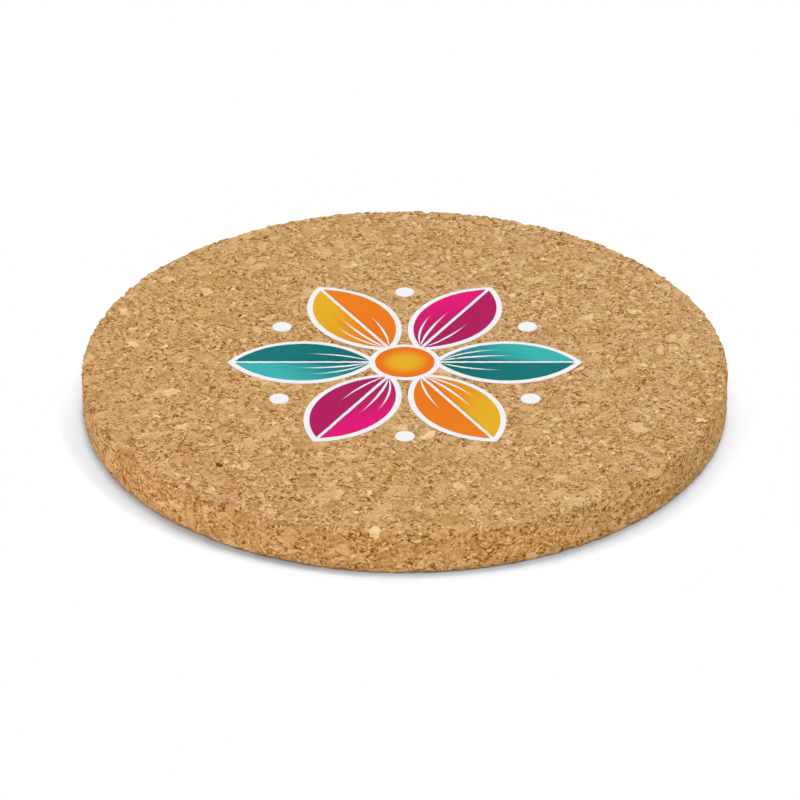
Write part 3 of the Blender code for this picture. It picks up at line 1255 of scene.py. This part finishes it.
class COASTER_OT_dots(bpy.types.Operator):
    """Builds the white dots between the petals"""

    bl_idname = "coaster.dots"
    bl_label = "Dots"

    def execute(self, context):
        cork, ink, _ = settings()
        layer = (DOT_LOW[2], DOT_HIGH[2])
        points, quads, uv = disc_grid(ink.dot_radius, *DOT_CELLS)
        white = white_material(ink)
        for k in range(PETAL_COUNT):
            centre = turned(np.array([[ink.dot_orbit, 0.0]]), (k + 0.5) * PETAL_PITCH)
            node = f"white_dot_{k + 1}"
            piece = add_film(f"{node}_film", points + centre, quads, uv, layer, cork, ink)
            dress(piece, white, "white_ink", node)
        return {"FINISHED"}


# Stage


class COASTER_OT_stage(bpy.types.Operator):
    """Builds the floor, the light and the camera"""

    bl_idname = "coaster.stage"
    bl_label = "Stage"

    def execute(self, context):
        cork, _, stage = settings()
        context.scene.view_settings.view_transform = "Standard"
        add_floor(stage, cork)
        add_light(stage)
        add_camera(stage)
        return {"FINISHED"}


def seen_directly(net):
    """1 for what is seen straight, in a reflection or through glass, and 0 for light that falls on things."""
    path = net.add("ShaderNodeLightPath")
    either = net.math("MAXIMUM", path, path.of("Is Glossy Ray"))
    return net.math("MAXIMUM", either, path.of("Is Transmission Ray"))


def add_floor(stage, cork):
    """A plain pale floor that keeps the coaster's shadow.

    Where it is seen directly, it gives back a little more light than its colour does, cooler close to the
    coaster and most of all on the warm side. Further off, round a centre in front of the coaster, it turns to
    plain white.
    """
    h = FLOOR_HALF
    points = np.array([(-h, -h, 0.0), (h, -h, 0.0), (h, h, 0.0), (-h, h, 0.0)])
    floor = make_piece("floor", points, np.array([[0, 1, 2, 3]]))
    net = Net(bpy.data.materials.new("floor"))
    place = millimetres(net)
    rim = cork.radius / MM
    distance = axis_distance(net, place)
    lit, lift, cool_lift = (
        net.add("ShaderNodeBsdfDiffuse", None, {"Color": (*colour, 1.0)})
        for colour in (stage.floor, stage.lift, stage.cool_lift)
    )
    x, y, _ = net.split(place)
    warm = x * math.cos(stage.warm_side) + y * math.sin(stage.warm_side)
    cool = net.step(distance, rim, rim + COOL_REACH, 1.0, 0.0)
    cool = cool * net.step(warm, COOL_BAND[0] * rim, COOL_BAND[1] * rim, COOL_LEAST, 1.0)
    near = net.add("ShaderNodeAddShader", None, {0: lit, 1: net.mix_shader(cool, lift, cool_lift)})
    white = net.add("ShaderNodeEmission", None, {"Color": WHITE, "Strength": 1.0})
    front = net.vector("ADD", place, (0.0, stage.fade_shift / MM, 0.0))
    far = net.step(axis_distance(net, front), stage.fade_start / MM, stage.fade_end / MM)
    far = far * net.step(distance, rim + FADE_BAND[0], rim + FADE_BAND[1])
    shader = net.mix_shader(seen_directly(net), lit, net.mix_shader(far, near, white))
    net.add("ShaderNodeOutputMaterial", None, {"Surface": shader})
    floor.data.materials.append(net.owner)


def add_light(stage):
    """A faint even surround, seen as white, and the soft lamps."""
    world = bpy.data.worlds.new("surround")
    bpy.context.scene.world = world
    net = Net(world)
    light = net.add("ShaderNodeBackground", None, {"Color": WHITE, "Strength": stage.sky})
    seen = net.add("ShaderNodeBackground", None, {"Color": WHITE, "Strength": 1.0})
    shader = net.mix_shader(seen_directly(net), light, seen)
    net.add("ShaderNodeOutputWorld", None, {"Surface": shader})
    for name, (azimuth, elevation, size) in LAMPS.items():
        add_lamp(name, math.radians(azimuth), math.radians(elevation), size, getattr(stage, name))


def add_lamp(name, azimuth, elevation, size, level):
    """A round soft lamp, aimed at the coaster from an azimuth and elevation.

    At level 1 a face turned to it renders its colour as written.
    """
    flat = math.cos(elevation)
    place = LAMP_DISTANCE * Vector((flat * math.cos(azimuth), flat * math.sin(azimuth), math.sin(elevation)))
    light = bpy.data.lights.new(name, "AREA")
    light.shape = "DISK"
    light.size = size
    light.energy = level * math.pi**2 * place.length_squared
    lamp = bpy.data.objects.new(name, light)
    lamp.location = place
    lamp.rotation_euler = (-place).to_track_quat("-Z", "Y").to_euler()
    bpy.context.scene.collection.objects.link(lamp)


def add_camera(stage):
    """A long lens that looks along +Y and down, moved sideways and up by the aim."""
    back = Vector((0.0, -math.cos(stage.elevation), math.sin(stage.elevation)))
    up = Vector((0.0, math.sin(stage.elevation), math.cos(stage.elevation)))
    right = Vector((1.0, 0.0, 0.0))
    lens = bpy.data.cameras.new("camera")
    lens.sensor_width = SENSOR_WIDTH
    lens.lens = stage.lens
    camera = bpy.data.objects.new("camera", lens)
    camera.location = back * stage.distance + right * stage.aim_right + up * stage.aim_up
    camera.rotation_euler = (-back).to_track_quat("-Z", "Y").to_euler()
    bpy.context.scene.collection.objects.link(camera)
    bpy.context.scene.camera = camera


# Add-on


class COASTER_PT_sidebar(bpy.types.Panel):
    """Lists the coaster's operators"""

    bl_label = "Coaster"
    bl_space_type = "VIEW_3D"
    bl_region_type = "UI"
    bl_category = "Coaster"

    def draw(self, context):
        for operator in OPERATORS:
            self.layout.operator(operator.bl_idname)


OPERATORS = (
    COASTER_OT_cork_disc,
    COASTER_OT_white_underbase,
    COASTER_OT_hub,
    COASTER_OT_petals,
    COASTER_OT_dots,
    COASTER_OT_stage,
)
CLASSES = (CorkSettings, PrintSettings, StageSettings, *OPERATORS, COASTER_PT_sidebar)


def register():
    for cls in CLASSES:
        bpy.utils.register_class(cls)
    bpy.types.Scene.coaster_cork = PointerProperty(type=CorkSettings)
    bpy.types.Scene.coaster_print = PointerProperty(type=PrintSettings)
    bpy.types.Scene.coaster_stage = PointerProperty(type=StageSettings)


def unregister():
    del bpy.types.Scene.coaster_stage
    del bpy.types.Scene.coaster_print
    del bpy.types.Scene.coaster_cork
    for cls in reversed(CLASSES):
        bpy.utils.unregister_class(cls)


def main():
    register()
    bpy.ops.coaster.cork_disc()
    bpy.ops.coaster.white_underbase()
    bpy.ops.coaster.hub()
    bpy.ops.coaster.petals()
    bpy.ops.coaster.dots()
    bpy.ops.coaster.stage()


if __name__ == "__main__":
    main()
